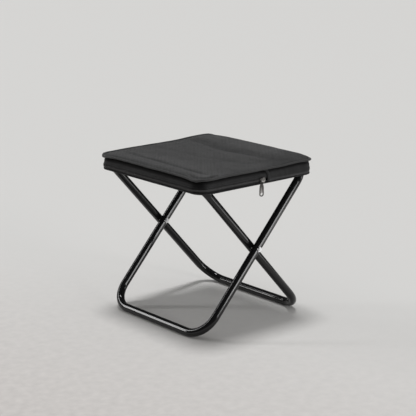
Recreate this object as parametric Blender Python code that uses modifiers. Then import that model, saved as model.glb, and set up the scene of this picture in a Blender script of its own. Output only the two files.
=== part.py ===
"""Folding camp stool: two crossed tube loops under a flat zipped pouch that makes the seat.

Metres, +Z up. The floor is z = 0, the pivot axis runs along Y and the zip pull is on the -Y side.
"""
import math

import bmesh
import bpy
from mathutils import Vector

# Frame
TUBE_DIAMETER = 0.016
PIVOT_TO_RAIL = 0.196            # along the leg, from the pivot to the middle of either rail
OPEN_HALF_ANGLE = math.radians(42.0)
LEG_SPACING = 0.275              # between the two legs of one loop
BEND_RADIUS = 0.045
BEND_STEPS = 10
TUBE_RESOLUTION = 6
FRAME_GAP = 0.0006               # between the two loops where they cross

# Pivot
RIVET_SHANK_RADIUS = 0.0026
RIVET_HEAD_RADIUS = 0.0052
RIVET_DOME_HEIGHT = 0.0024
RIVET_RIM = 0.0005
RIVET_SEAT_DEPTH = 0.0012        # pressed flat in the tube under a head or the spacer
FIT = 0.0003                     # between pieces that touch

# Pouch
SLEEVE_WALL = 0.0006
SLEEVE_END_INSET = 0.005
PANEL_THICKNESS = 0.002
BAND_HEIGHT = 0.0325             # from the crown of the top panel to the underside
BAND_WALL = 0.001
CORNER_RADIUS = 0.026
BOTTOM_THICKNESS = 0.0012
TOP_BINDING_RADIUS = 0.0018
BOTTOM_BINDING_RADIUS = 0.0012
BINDING_FIT = 0.0004
LEG_SLOT_CLEARANCE = 0.005
SEAT_SAG = 0.004                 # middle of the top panel below the rails
EDGE_SAG = 0.0012                # the same at the front and rear edges, which the band holds up
FLAT_HALF = 0.045
EDGE_DROP = 0.003
END_DROP = 0.0028
CREASE_INSET = 0.016             # soft fold along the inner side of each rail
CREASE_DEPTH = 0.0009
CREASE_WIDTH = 0.004

# Zip
CHAIN_ABOVE_BOTTOM = 0.0074
CHAIN_HEIGHT = 0.005
CHAIN_WALL = 0.002
STOP_LENGTH = 0.0022
END_TAB_WIDTH = 0.007
SLIDER_X = 0.0062
SLIDER_LENGTH = 0.0125
SLIDER_FRONT_WIDTH = 0.0092
SLIDER_BACK_WIDTH = 0.0072
SLIDER_PLATE = 0.0012
NECK_LENGTH = 0.0026
BAIL_WIDTH = 0.0026
BAIL_WALL = 0.0009
BAIL_SPAN = 0.0068
BAIL_BACK = 0.004                # the bail sits behind the middle of the slider
PULL_LENGTH = 0.0305
PULL_WIDTH = 0.0098
PULL_WAIST = 0.0068
PULL_THICKNESS = 0.0012
PULL_BAR = 0.0012
PULL_EYE_WIDTH = 0.0036
PULL_EYE_LENGTH = 0.0046
PULL_HOLE_RADIUS = 0.0025
PULL_HOLE_LENGTH = 0.0086

# Derived places
TUBE_RADIUS = TUBE_DIAMETER / 2
FRAME_OFFSET = (TUBE_DIAMETER + FRAME_GAP) / 2
PIVOT_Z = TUBE_RADIUS + PIVOT_TO_RAIL * math.cos(OPEN_HALF_ANGLE)
RAIL_X = PIVOT_TO_RAIL * math.sin(OPEN_HALF_ANGLE)
RAIL_Z = PIVOT_Z + PIVOT_TO_RAIL * math.cos(OPEN_HALF_ANGLE)
RAIL_STRAIGHT_HALF = LEG_SPACING / 2 - BEND_RADIUS
SLEEVE_OUTER = TUBE_RADIUS + FIT + SLEEVE_WALL
CROWN_Z = RAIL_Z + SLEEVE_OUTER + FIT + PANEL_THICKNESS
BOTTOM_Z = CROWN_Z - BAND_HEIGHT
BAND_BOTTOM = BOTTOM_Z + BOTTOM_THICKNESS + FIT
CHAIN_Z = BOTTOM_Z + CHAIN_ABOVE_BOTTOM


def leg_path(z):
    """Distance up the leg and inward shift of a tube's middle line at height z, in the bend or below it."""
    up = (z - PIVOT_Z) / math.cos(OPEN_HALF_ANGLE)
    into = max(0.0, up - (PIVOT_TO_RAIL - BEND_RADIUS))
    return up, BEND_RADIUS - math.sqrt(max(0.0, BEND_RADIUS ** 2 - into ** 2))


def leg_reach(z):
    """Farthest Y that the outer leg's surface has at height z."""
    bend_start = PIVOT_TO_RAIL - BEND_RADIUS
    best = 0.0
    for i in range(46):
        a = math.radians(2 * i)
        sweep = BEND_RADIUS + TUBE_RADIUS * math.cos(a)
        up = (z - PIVOT_Z - TUBE_RADIUS * math.sin(a) * math.sin(OPEN_HALF_ANGLE)) / math.cos(OPEN_HALF_ANGLE)
        turn = math.asin(min(1.0, max(0.0, up - bend_start) / sweep))
        best = max(best, LEG_SPACING / 2 + FRAME_OFFSET - BEND_RADIUS + sweep * math.cos(turn))
    return best


PANEL_X = RAIL_X + SLEEVE_OUTER + FIT + BAND_WALL
PANEL_Y = leg_reach(BAND_BOTTOM) + FIT + BAND_WALL
STRAIGHT_X = PANEL_X - CORNER_RADIUS
STRAIGHT_Y = PANEL_Y - CORNER_RADIUS
SLIDER_END = SLIDER_X + SLIDER_LENGTH / 2
BAIL_X = SLIDER_X - BAIL_BACK
STOP_X = SLIDER_END + FIT
SEAM_X = STOP_X + STOP_LENGTH + FIT
NECK_X = SLIDER_END - 0.0006 - NECK_LENGTH / 2
CHAIN_END = NECK_X - NECK_LENGTH / 2 - FIT
CHAIN_OUT = CHAIN_WALL / 2 - BAND_WALL / 2
PLATE_OUT = CHAIN_OUT + FIT + SLIDER_PLATE / 2
PLATE_IN = CHAIN_OUT - CHAIN_WALL - FIT - SLIDER_PLATE / 2
PULL_OUT = BINDING_FIT + 2 * BOTTOM_BINDING_RADIUS + FIT + PULL_THICKNESS / 2
BAIL_TOP = PULL_OUT + PULL_BAR / 2 + FIT + BAIL_WALL
BAR_Z = CHAIN_Z - BAIL_SPAN / 2 + BAIL_WALL + FIT + PULL_BAR / 2


for old in list(bpy.data.objects):
    bpy.data.objects.remove(old, do_unlink=True)

parts = bpy.data.collections.new("camp_stool")
cutters = bpy.data.collections.new("camp_stool_cutters")
bpy.context.scene.collection.children.link(parts)
bpy.context.scene.collection.children.link(cutters)


def material(name, color, roughness, metallic):
    mat = bpy.data.materials.new(name)
    mat.use_nodes = True
    shader = mat.node_tree.nodes["Principled BSDF"]
    shader.inputs["Base Color"].default_value = (*color, 1)
    shader.inputs["Roughness"].default_value = roughness
    shader.inputs["Metallic"].default_value = metallic
    return mat


def place(name, mesh, collection=None, location=(0, 0, 0), rotation=(0, 0, 0)):
    obj = bpy.data.objects.new(name, mesh)
    (collection or parts).objects.link(obj)
    obj.location = location
    obj.rotation_euler = rotation
    if collection is cutters:
        obj.hide_render = True
        obj.display_type = "WIRE"
    return obj


def smooth(mesh, angle=35):
    mesh.shade_smooth()
    mesh.set_sharp_from_angle(angle=math.radians(angle))


def mesh_from_curve(curve, name):
    """Closed mesh of a curve's evaluated shape, with its caps welded."""
    temp = bpy.data.objects.new(name, curve)
    parts.objects.link(temp)
    graph = bpy.context.evaluated_depsgraph_get()
    mesh = bpy.data.meshes.new_from_object(temp.evaluated_get(graph))
    bpy.data.objects.remove(temp)
    bm = bmesh.new()
    bm.from_mesh(mesh)
    bmesh.ops.remove_doubles(bm, verts=bm.verts, dist=0.00001)
    bmesh.ops.recalc_face_normals(bm, faces=bm.faces)
    bm.to_mesh(mesh)
    bm.free()
    mesh.name = name
    return mesh


def poly_curve(name, loops, cyclic=True, flat=False):
    curve = bpy.data.curves.new(name, "CURVE")
    curve.dimensions = "2D" if flat else "3D"
    for points in loops:
        spline = curve.splines.new("POLY")
        spline.points.add(len(points) - 1)
        for p, co in zip(spline.points, points):
            p.co = (*co, *([0] * (3 - len(co))), 1)
        spline.use_cyclic_u = cyclic
    return curve


def tube_mesh(name, points, radius, resolution):
    """Round tube along a closed line of points."""
    curve = poly_curve(name, [points])
    curve.twist_mode = "Z_UP"
    curve.bevel_depth = radius
    curve.bevel_resolution = resolution
    curve.use_fill_caps = True
    return mesh_from_curve(curve, name)


def plate_mesh(name, loops, thickness):
    """Flat plate from an outline and its holes."""
    curve = poly_curve(name, loops, flat=True)
    curve.fill_mode = "BOTH"
    curve.extrude = thickness / 2
    return mesh_from_curve(curve, name)


def turned(name, profile, steps, collection=None, closed=False):
    """Solid of revolution about local Z from (radius, height) pairs that run from top to bottom."""
    mesh = bpy.data.meshes.new(name)
    bm = bmesh.new()
    verts = [bm.verts.new((r, 0, z)) for r, z in profile]
    for a, b in zip(verts, verts[1:]):
        bm.edges.new((a, b))
    if closed:
        bm.edges.new((verts[-1], verts[0]))
    bm.to_mesh(mesh)
    bm.free()
    obj = place(name, mesh, collection)
    screw = obj.modifiers.new("turn", "SCREW")
    screw.axis = "Z"
    screw.steps = screw.render_steps = steps
    screw.use_merge_vertices = True
    screw.merge_threshold = 0.00001
    return obj


def boolean(obj, other, operation="DIFFERENCE"):
    mod = obj.modifiers.new(other.name, "BOOLEAN")
    mod.operation = operation
    mod.object = other
    mod.solver = "EXACT"


def arc(cx, cy, radius, start, end, steps):
    return [(cx + radius * math.cos(start + (end - start) * i / steps),
             cy + radius * math.sin(start + (end - start) * i / steps)) for i in range(steps + 1)]


def rounded_rectangle(half_x, half_y, radius, steps):
    points = []
    for k, (sx, sy) in enumerate(((1, 1), (-1, 1), (-1, -1), (1, -1))):
        start = k * math.pi / 2
        points += arc(sx * (half_x - radius), sy * (half_y - radius), radius, start, start + math.pi / 2, steps)
    return points


# Pivot cutter: rivet bore with the pressed flats for both heads and for the spacer between the tubes
outer_flat = FRAME_OFFSET + TUBE_RADIUS - RIVET_SEAT_DEPTH
inner_flat = FRAME_GAP / 2 + RIVET_SEAT_DEPTH
bore = RIVET_SHANK_RADIUS + FIT
pocket = RIVET_HEAD_RADIUS + FIT
beyond = outer_flat + TUBE_RADIUS
pivot_cutters = []
for side in (-1, 1):
    profile = [(0, beyond), (pocket, beyond), (pocket, outer_flat), (bore, outer_flat), (bore, inner_flat),
               (pocket, inner_flat), (pocket, -inner_flat), (bore, -inner_flat), (bore, -outer_flat),
               (pocket, -outer_flat), (pocket, -beyond), (0, -beyond)]
    cutter = turned("pivot_cutter", profile, 32, cutters)
    cutter.location = (0, side * LEG_SPACING / 2, PIVOT_Z)
    cutter.rotation_euler = (math.pi / 2, 0, 0)
    pivot_cutters.append(cutter)

# Tube loops, drawn flat with local X up the leg, then tilted about the pivot axis
painted = material("black_painted_tube", (0.012, 0.012, 0.013), 0.28, 0.0)
loop = rounded_rectangle(PIVOT_TO_RAIL, LEG_SPACING / 2, BEND_RADIUS, BEND_STEPS)
for name, sign in (("left_foot_frame", 1), ("right_foot_frame", -1)):
    mesh = tube_mesh(name, loop, TUBE_RADIUS, TUBE_RESOLUTION)
    smooth(mesh)
    mesh.materials.append(painted)
    frame = place(name, mesh, location=(0, -sign * FRAME_OFFSET, PIVOT_Z),
                  rotation=(0, sign * OPEN_HALF_ANGLE - math.pi / 2, 0))
    for cutter in pivot_cutters:
        boolean(frame, cutter)

# Rivets and spacers
steel = material("bright_rivet", (0.62, 0.62, 0.64), 0.22, 1.0)
nylon = material("black_spacer", (0.02, 0.02, 0.02), 0.5, 0.0)
under = outer_flat + FIT
dome = [(RIVET_HEAD_RADIUS * math.sin(a), under + RIVET_RIM + RIVET_DOME_HEIGHT * math.cos(a))
        for a in (math.pi / 2 * i / 6 for i in range(7))]
half = dome + [(RIVET_HEAD_RADIUS, under), (RIVET_SHANK_RADIUS, under)]
rivet_profile = half + [(r, -z) for r, z in reversed(half)]
spacer = inner_flat - FIT
for name, side in (("front", -1), ("rear", 1)):
    rivet = turned(name + "_pivot_rivet", rivet_profile, 24)
    washer = turned(name + "_pivot_washer", [(bore, spacer), (RIVET_HEAD_RADIUS, spacer),
                                             (RIVET_HEAD_RADIUS, -spacer), (bore, -spacer)], 24, closed=True)
    for obj, mat in ((rivet, steel), (washer, nylon)):
        obj.location = (0, side * LEG_SPACING / 2, PIVOT_Z)
        obj.rotation_euler = (math.pi / 2, 0, 0)
        obj.data.materials.append(mat)
        smooth(obj.data)


# Pouch surfaces
def ease(t):
    t = min(1.0, max(0.0, t))
    return t * t * (3 - 2 * t)


def crown_drop(x, y):
    """Depth of the top panel's upper face below its crown over the rails."""
    a, b = abs(x), abs(y)
    flat_y = RAIL_STRAIGHT_HALF * 2 / 3
    sag = SEAT_SAG + (EDGE_SAG - SEAT_SAG) * ease((b - flat_y) / (PANEL_Y - flat_y))
    if a <= RAIL_X:
        drop = sag * (1 - ease((a - FLAT_HALF) / (RAIL_X - FLAT_HALF)))
    else:
        drop = EDGE_DROP * ((a - RAIL_X) / (PANEL_X - RAIL_X)) ** 2
    drop += CREASE_DEPTH * math.exp(-((a - RAIL_X + CREASE_INSET) / CREASE_WIDTH) ** 2)
    past = max(0.0, (b - RAIL_STRAIGHT_HALF) / (PANEL_Y - RAIL_STRAIGHT_HALF))
    return drop + END_DROP * past ** 2


def panel_top(x, y):
    return CROWN_Z - crown_drop(max(-PANEL_X, min(PANEL_X, x)), max(-PANEL_Y, min(PANEL_Y, y)))


def split(a, b, n):
    return [a + (b - a) * i / n for i in range(n + 1)]


crease_at = RAIL_X - CREASE_INSET
COLUMNS = sorted(set(split(0, FLAT_HALF, 2) + split(FLAT_HALF, crease_at - 2 * CREASE_WIDTH, 3)
                     + [crease_at, crease_at + 2 * CREASE_WIDTH, RAIL_X]
                     + split(RAIL_X, PANEL_X, 2)[1:]))
ROWS = sorted(set(split(0, RAIL_STRAIGHT_HALF, 3) + split(RAIL_STRAIGHT_HALF, STRAIGHT_Y, 2)
                  + split(STRAIGHT_Y, PANEL_Y, 4)[1:]))


def both_sides(values):
    return [-v for v in reversed(values[1:])] + values


def corner_map(x, y):
    """Moves points of a rectangle so that its corners are round."""
    u = (abs(x) - STRAIGHT_X) / CORNER_RADIUS
    v = (abs(y) - STRAIGHT_Y) / CORNER_RADIUS
    if u <= 0 or v <= 0:
        return x, y
    mx = STRAIGHT_X + CORNER_RADIUS * u * math.sqrt(1 - v * v / 2)
    my = STRAIGHT_Y + CORNER_RADIUS * v * math.sqrt(1 - u * u / 2)
    return math.copysign(mx, x), math.copysign(my, y)


def grid_surface(name, rows):
    """Open surface through rows of points, made from a grid primitive."""
    mesh = bpy.data.meshes.new(name)
    bm = bmesh.new()
    n, m = len(rows), len(rows[0])
    grid = bmesh.ops.create_grid(bm, x_segments=m - 1, y_segments=n - 1, size=1)["verts"]
    grid.sort(key=lambda v: (round(v.co.y, 5), round(v.co.x, 5)))
    for v, co in zip(grid, (p for row in rows for p in row)):
        v.co = co
    bm.normal_update()
    bm.to_mesh(mesh)
    bm.free()
    return mesh


def shell(name, rows, thickness, mat, out):
    """Surface thickened inward from the side that the direction out points to."""
    mesh = grid_surface(name, rows)
    facing = sum(((f.normal * f.area).dot(out(f.center)) for f in mesh.polygons))
    if facing < 0:
        mesh.flip_normals()
    smooth(mesh, 60)
    mesh.materials.append(mat)
    obj = place(name, mesh)
    solid = obj.modifiers.new("wall", "SOLIDIFY")
    solid.thickness = thickness
    solid.offset = -1
    solid.use_even_offset = True
    return obj


woven = material("woven_top", (0.055, 0.055, 0.057), 0.85, 0.0)
cloth = material("side_cloth", (0.022, 0.022, 0.023), 0.85, 0.0)
tape = material("zip_tape", (0.016, 0.016, 0.017), 0.8, 0.0)
coil = material("zip_coil", (0.014, 0.014, 0.015), 0.5, 0.0)
nickel = material("bright_zip_metal", (0.6, 0.6, 0.62), 0.25, 1.0)

top_rows = []
for y in both_sides(ROWS):
    row = []
    for x in both_sides(COLUMNS):
        px, py = corner_map(x, y)
        row.append(Vector((px, py, panel_top(px, py))))
    top_rows.append(row)
shell("seat_top_panel", top_rows, PANEL_THICKNESS, woven, lambda c: Vector((0, 0, 1)))


def half_outline(sign, end_x, out, corner_steps=6):
    """Half of the pouch's outline at a distance out from its side band, from the front face to the rear.

    It goes round the side that sign names and ends at end_x on both faces.
    """
    front = [x for x in both_sides(COLUMNS) if sign * (x - end_x) > 0.004 and sign * x < STRAIGHT_X - 0.001]
    front = [end_x] + (front if sign > 0 else front[::-1])
    side_y, side_x = PANEL_Y + out, sign * (PANEL_X + out)
    line = [(x, -side_y) for x in front]
    cx, turn = sign * STRAIGHT_X, sign * math.pi / 2
    line += arc(cx, -STRAIGHT_Y, CORNER_RADIUS + out, -math.pi / 2, -math.pi / 2 + turn, corner_steps)
    line += [(side_x, y) for y in both_sides(ROWS) if abs(y) < STRAIGHT_Y - 0.001]
    line += arc(cx, STRAIGHT_Y, CORNER_RADIUS + out, math.pi / 2 - turn, math.pi / 2, corner_steps)
    return line + [(x, side_y) for x in reversed(front)]


def ring(out, height):
    right = half_outline(1, 0, out)
    left = half_outline(-1, 0, out)
    return [(x, y, height(x, y)) for x, y in right + left[-2:0:-1]]


def binding(name, radius, height, resolution):
    mesh = tube_mesh(name, ring(BINDING_FIT + radius, height), radius, resolution)
    smooth(mesh, 60)
    mesh.materials.append(cloth)
    return place(name, mesh)


binding("top_edge_binding", TOP_BINDING_RADIUS, lambda x, y: panel_top(x, y) - PANEL_THICKNESS / 2, 2)
binding("bottom_edge_binding", BOTTOM_BINDING_RADIUS, lambda x, y: BOTTOM_Z + BOTTOM_BINDING_RADIUS, 1)


def band(name, sign, end_x, low, high, out, wall, mat):
    """Upright strip of the side band, between the heights low and high."""
    line = half_outline(sign, end_x, out)
    rows = [[Vector((x, y, low(x, y) + (high(x, y) - low(x, y)) * t)) for x, y in line] for t in (0, 0.5, 1)]
    return shell(name, rows, wall, mat, lambda c: Vector((c.x, c.y, 0)))


def at(z):
    return lambda x, y: z


def under_panel(x, y):
    return panel_top(x, y) - PANEL_THICKNESS - 2 * FIT


chain_low, chain_high = CHAIN_Z - CHAIN_HEIGHT / 2, CHAIN_Z + CHAIN_HEIGHT / 2
band("side_gusset", 1, SEAM_X + FIT, at(BAND_BOTTOM), under_panel, 0, BAND_WALL, cloth)
band("zip_tape_upper", -1, SEAM_X, at(chain_high + FIT), under_panel, 0, BAND_WALL, tape)
band("zip_tape_lower", -1, SEAM_X, at(BAND_BOTTOM), at(chain_low - FIT), 0, BAND_WALL, tape)
band("zip_chain", -1, CHAIN_END, at(chain_low), at(chain_high), CHAIN_OUT, CHAIN_WALL, coil)


def box(name, center, size, mat=None, collection=None, bevel=0.0):
    mesh = bpy.data.meshes.new(name)
    bm = bmesh.new()
    bmesh.ops.create_cube(bm, size=1)
    bmesh.ops.scale(bm, vec=size, verts=bm.verts)
    if bevel:
        upright = [e for e in bm.edges if abs(e.verts[0].co.z - e.verts[1].co.z) > size[2] / 2]
        bmesh.ops.bevel(bm, geom=upright, offset=bevel, segments=4, profile=0.5, affect="EDGES")
    bm.to_mesh(mesh)
    bm.free()
    if mat:
        mesh.materials.append(mat)
    return place(name, mesh, collection, location=center)


# Sleeves round the top rails
for name, sign in (("left_rail_sleeve", -1), ("right_rail_sleeve", 1)):
    length = RAIL_STRAIGHT_HALF - FRAME_OFFSET - SLEEVE_END_INSET
    sleeve = turned(name, [(TUBE_RADIUS + FIT, length), (SLEEVE_OUTER, length),
                           (SLEEVE_OUTER, -length), (TUBE_RADIUS + FIT, -length)], 24, closed=True)
    sleeve.location = (sign * RAIL_X, 0, RAIL_Z)
    sleeve.rotation_euler = (math.pi / 2, 0, 0)
    sleeve.data.materials.append(cloth)
    smooth(sleeve.data)

# Underside, with a slot for each leg; the slots of the outer legs open at the edge
base = place("seat_bottom_panel", plate_mesh("seat_bottom_panel", [rounded_rectangle(
    PANEL_X, PANEL_Y, CORNER_RADIUS, 6)], BOTTOM_THICKNESS), location=(0, 0, BOTTOM_Z + BOTTOM_THICKNESS / 2))
base.data.materials.append(cloth)
leg_up, leg_in = leg_path(BOTTOM_Z)
slot_x = TUBE_RADIUS / math.cos(OPEN_HALF_ANGLE) + LEG_SLOT_CLEARANCE
slot_y = TUBE_RADIUS + LEG_SLOT_CLEARANCE
for frame_sign in (1, -1):
    for side in (-1, 1):
        y = side * (LEG_SPACING / 2 - leg_in) - frame_sign * FRAME_OFFSET
        inner, outer = abs(y) - slot_y, abs(y) + slot_y
        if side == -frame_sign:
            outer = PANEL_Y + 4 * BAND_WALL
        slot = box("leg_slot", (frame_sign * leg_up * math.sin(OPEN_HALF_ANGLE), side * (inner + outer) / 2, BOTTOM_Z),
                   (2 * slot_x, outer - inner, 8 * BOTTOM_THICKNESS), None, cutters, slot_y / 2)
        boolean(base, slot)

# Stops and cover strips at the zip's ends
for name, side in (("front", -1), ("rear", 1)):
    stop_x = STOP_X + STOP_LENGTH / 2
    box("zip_" + name + "_stop", (stop_x, side * (PANEL_Y + CHAIN_OUT - CHAIN_WALL / 2), CHAIN_Z),
        (STOP_LENGTH, CHAIN_WALL, CHAIN_HEIGHT), nickel)
    top = panel_top(SEAM_X, side * PANEL_Y) - PANEL_THICKNESS / 2 - TOP_BINDING_RADIUS - FIT
    box(name + "_end_tab", (SEAM_X + END_TAB_WIDTH / 2, side * (PANEL_Y + FIT + BAND_WALL / 2),
                            (BAND_BOTTOM + 2 * BOTTOM_BINDING_RADIUS + top) / 2),
        (END_TAB_WIDTH, BAND_WALL, top - BAND_BOTTOM - 2 * BOTTOM_BINDING_RADIUS), cloth)


# Slider: two shield-shaped plates, the neck that joins them and the bail that carries the pull
def shield(length, wide, narrow):
    r = narrow / 2 * 0.7
    points = arc(-length / 2 + r, narrow / 2 - r, r, math.pi, math.pi / 2, 4)
    points += arc(length / 2 - r, wide / 2 - r, r, math.pi / 2, 0, 4)
    return points + [(x, -y) for x, y in reversed(points)]


upright = (math.pi / 2, 0, 0)
slider_y = -PANEL_Y
plate = shield(SLIDER_LENGTH, SLIDER_FRONT_WIDTH, SLIDER_BACK_WIDTH)
slider = place("zip_slider", plate_mesh("zip_slider", [plate], SLIDER_PLATE),
               location=(SLIDER_X, slider_y - PLATE_OUT, CHAIN_Z), rotation=upright)
slider.data.materials.append(nickel)
back_plate = place("slider_back_plate", plate_mesh("slider_back_plate", [plate], SLIDER_PLATE), cutters,
                   (SLIDER_X, slider_y - PLATE_IN, CHAIN_Z), upright)
neck_depth = PLATE_OUT - PLATE_IN
neck = box("slider_neck", (NECK_X, slider_y - (PLATE_OUT + PLATE_IN) / 2, CHAIN_Z),
           (NECK_LENGTH, neck_depth, CHAIN_HEIGHT * 0.7), None, cutters)
bail_low = PLATE_OUT - SLIDER_PLATE / 4
bail_mid, bail_half = (BAIL_TOP + bail_low) / 2, (BAIL_TOP - bail_low) / 2
outer_loop = rounded_rectangle(bail_half, BAIL_SPAN / 2, BAIL_WALL * 1.6, 4)
window_low = PLATE_OUT + SLIDER_PLATE / 2
window_top = BAIL_TOP - BAIL_WALL
shift = (window_low + window_top) / 2 - bail_mid
inner_loop = [(x + shift, y) for x, y in rounded_rectangle(
    (window_top - window_low) / 2, BAIL_SPAN / 2 - BAIL_WALL, BAIL_WALL * 0.6, 4)]
bail = place("slider_bail", plate_mesh("slider_bail", [outer_loop, inner_loop], BAIL_WIDTH), cutters,
             (BAIL_X, slider_y - bail_mid, CHAIN_Z), (math.pi / 2, 0, -math.pi / 2))
for piece in (neck, back_plate, bail):
    boolean(slider, piece, "UNION")


# Pull: bar and eye round the bail, a narrow waist, then a wide rounded end with a drop-shaped hole
def pull_outline():
    arm = PULL_EYE_WIDTH / 2 + PULL_BAR
    eye_end = -PULL_BAR / 2 - PULL_EYE_LENGTH - PULL_BAR
    end_y = -PULL_LENGTH + PULL_WIDTH / 2
    side = [(arm - 0.0004, PULL_BAR / 2), (arm, PULL_BAR / 2 - 0.0004), (arm, eye_end + 0.001)]
    waist_y = eye_end - 0.0025
    for i in range(9):
        t = i / 8
        y = waist_y + (end_y - waist_y) * t
        side.append((PULL_WAIST / 2 + (PULL_WIDTH - PULL_WAIST) / 2 * ease(t), y))
    side += arc(0, end_y, PULL_WIDTH / 2, 0, -math.pi / 2, 6)[1:]
    return side + [(-x, y) for x, y in reversed(side[:-1])]


def drop_hole():
    low = -PULL_LENGTH + PULL_WIDTH / 2
    tip = low + PULL_HOLE_LENGTH - PULL_HOLE_RADIUS
    lean = math.asin(PULL_HOLE_RADIUS / (tip - low))
    return arc(0, low, PULL_HOLE_RADIUS, lean, -math.pi - lean, 12) + [(0, tip)]


eye_mid = -PULL_BAR / 2 - PULL_EYE_LENGTH / 2
eye = [(x, y + eye_mid) for x, y in rounded_rectangle(PULL_EYE_WIDTH / 2, PULL_EYE_LENGTH / 2, 0.0005, 3)]
pull = place("zip_pull_tab", plate_mesh("zip_pull_tab", [pull_outline(), eye, drop_hole()], PULL_THICKNESS),
             location=(BAIL_X, slider_y - PULL_OUT, BAR_Z), rotation=upright)
pull.data.materials.append(nickel)
bpy.context.view_layer.update()
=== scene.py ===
import math

import bpy
from mathutils import Matrix, Quaternion, Vector, noise


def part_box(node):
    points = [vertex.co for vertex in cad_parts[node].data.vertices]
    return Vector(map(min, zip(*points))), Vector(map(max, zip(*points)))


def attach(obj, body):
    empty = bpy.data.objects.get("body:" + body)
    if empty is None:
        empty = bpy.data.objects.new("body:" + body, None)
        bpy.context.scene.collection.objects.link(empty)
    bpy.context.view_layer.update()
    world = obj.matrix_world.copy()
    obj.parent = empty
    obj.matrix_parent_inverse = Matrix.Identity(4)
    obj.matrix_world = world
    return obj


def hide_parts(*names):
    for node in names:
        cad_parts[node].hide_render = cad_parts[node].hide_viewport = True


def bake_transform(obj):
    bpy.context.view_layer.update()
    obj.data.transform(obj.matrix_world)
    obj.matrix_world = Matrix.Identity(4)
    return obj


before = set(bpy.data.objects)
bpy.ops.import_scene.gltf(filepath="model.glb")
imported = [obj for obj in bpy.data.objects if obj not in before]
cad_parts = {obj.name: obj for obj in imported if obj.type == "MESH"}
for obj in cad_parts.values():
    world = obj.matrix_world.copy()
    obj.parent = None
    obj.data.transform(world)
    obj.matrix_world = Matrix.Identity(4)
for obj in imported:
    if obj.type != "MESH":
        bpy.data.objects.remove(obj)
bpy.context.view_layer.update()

# Sizes of the stool in metres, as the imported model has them
TUBE_RADIUS = 0.008
PIVOT_TO_RAIL = 0.196
HALF_ANGLE = math.radians(42.0)
LEG_SPACING = 0.275
BEND_RADIUS = 0.045
FRAME_OFFSET = 0.0083
PIVOT_Z = TUBE_RADIUS + PIVOT_TO_RAIL * math.cos(HALF_ANGLE)
RAIL_X = PIVOT_TO_RAIL * math.sin(HALF_ANGLE)
RAIL_Z = PIVOT_Z + PIVOT_TO_RAIL * math.cos(HALF_ANGLE)
RAIL_STRAIGHT = LEG_SPACING / 2 - BEND_RADIUS
HEAD_SEAT = 0.0151  # from the pivot's middle to the pressed flat under a rivet head
SEAT_RADIUS, SEAT_DEPTH = 0.0057, 0.008  # cutter for that flat
CORNER = 0.026  # radius of the pouch's corners
PANEL_X, PANEL_Y, BOTTOM_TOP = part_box("seat_bottom_panel")[1]
BOTTOM_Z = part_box("seat_bottom_panel")[0].z
CROWN_Z = BOTTOM_Z + 0.0325
CHAIN_LOW, CHAIN_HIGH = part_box("zip_chain")[0].z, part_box("zip_chain")[1].z
CHAIN_Z = (CHAIN_LOW + CHAIN_HIGH) / 2
CHAIN_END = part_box("zip_chain")[1].x
SEAM_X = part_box("zip_tape_upper")[1].x  # where the zip ends and the plain gusset begins
FLAP_LOW, FLAP_HIGH = 0.0195, 0.0075  # the gusset's curved end by the zip, at the chain and the lip
TAPE_END = 0.0215  # the tapes run on a little way under that end
# Along the tape, where it turns the near corner
CORNER_AT = PANEL_X - CORNER + TAPE_END + CORNER * math.pi * 0.3
# How thick the cloths are
TOP_WALL, SIDE_WALL, TAPE_WALL, SLEEVE_WALL = 0.0018, 0.0009, 0.0008, 0.0004


# ---------------------------------------------------------------- bench tools

def clear():
    """Leaves edit mode, with nothing selected."""
    if bpy.context.object and bpy.context.object.mode != "OBJECT":
        bpy.ops.object.mode_set(mode="OBJECT")
    bpy.ops.object.select_all(action="DESELECT")


def pick(obj):
    """Leaves obj as the only selected object, and the active one."""
    clear()
    obj.select_set(True)
    bpy.context.view_layer.objects.active = obj


def added(name):
    """Names the object that was just added."""
    obj = bpy.context.object
    obj.name = obj.data.name = name
    return obj


def placed(name, data):
    """New object in the scene for a mesh, lamp or camera."""
    obj = bpy.data.objects.new(name, data)
    bpy.context.scene.collection.objects.link(obj)
    return obj


def open_all(obj):
    """Opens edit mode with the whole mesh selected."""
    pick(obj)
    bpy.ops.object.mode_set(mode="EDIT")
    bpy.ops.mesh.select_all(action="SELECT")


def select(obj, kind, test):
    """Opens edit mode with the vertices, edges or faces selected whose corners pass the test."""
    pick(obj)
    bpy.ops.object.mode_set(mode="EDIT")
    bpy.ops.mesh.select_mode(type=kind)
    bpy.ops.mesh.select_all(action="DESELECT")
    bpy.ops.object.mode_set(mode="OBJECT")
    mesh = obj.data
    for item in {"VERT": mesh.vertices, "EDGE": mesh.edges, "FACE": mesh.polygons}[kind]:
        corners = [item.index] if kind == "VERT" else item.vertices
        item.select = bool(test([mesh.vertices[i].co for i in corners]))
    bpy.ops.object.mode_set(mode="EDIT")


def close_edit():
    bpy.ops.object.mode_set(mode="OBJECT")


def settle(obj):
    """Puts an object's place, turn and scale into its mesh."""
    pick(obj)
    bpy.ops.object.transform_apply(location=True, rotation=True, scale=True)


def finish_modifiers(obj):
    pick(obj)
    for modifier in list(obj.modifiers):
        bpy.ops.object.modifier_apply(modifier=modifier.name)


def smooth(obj, angle):
    pick(obj)
    bpy.ops.object.shade_smooth_by_angle(angle=math.radians(angle))


def cut_away(obj, cutters):
    """Cuts the cutters out of an object and removes them."""
    for cutter in cutters:
        modifier = obj.modifiers.new("cut", "BOOLEAN")
        modifier.operation = "DIFFERENCE"
        modifier.solver = "EXACT"
        modifier.object = cutter
    finish_modifiers(obj)
    for cutter in cutters:
        bpy.data.objects.remove(cutter)


def clamp(t):
    return min(1.0, max(0.0, t))


def ease(t):
    """Smooth step from 0 to 1."""
    t = clamp(t)
    return t * t * (3 - 2 * t)


def bump_at(value, width):
    """Smooth hump, 1 where the value is 0."""
    return math.exp(-(value / width) ** 2)


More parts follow.
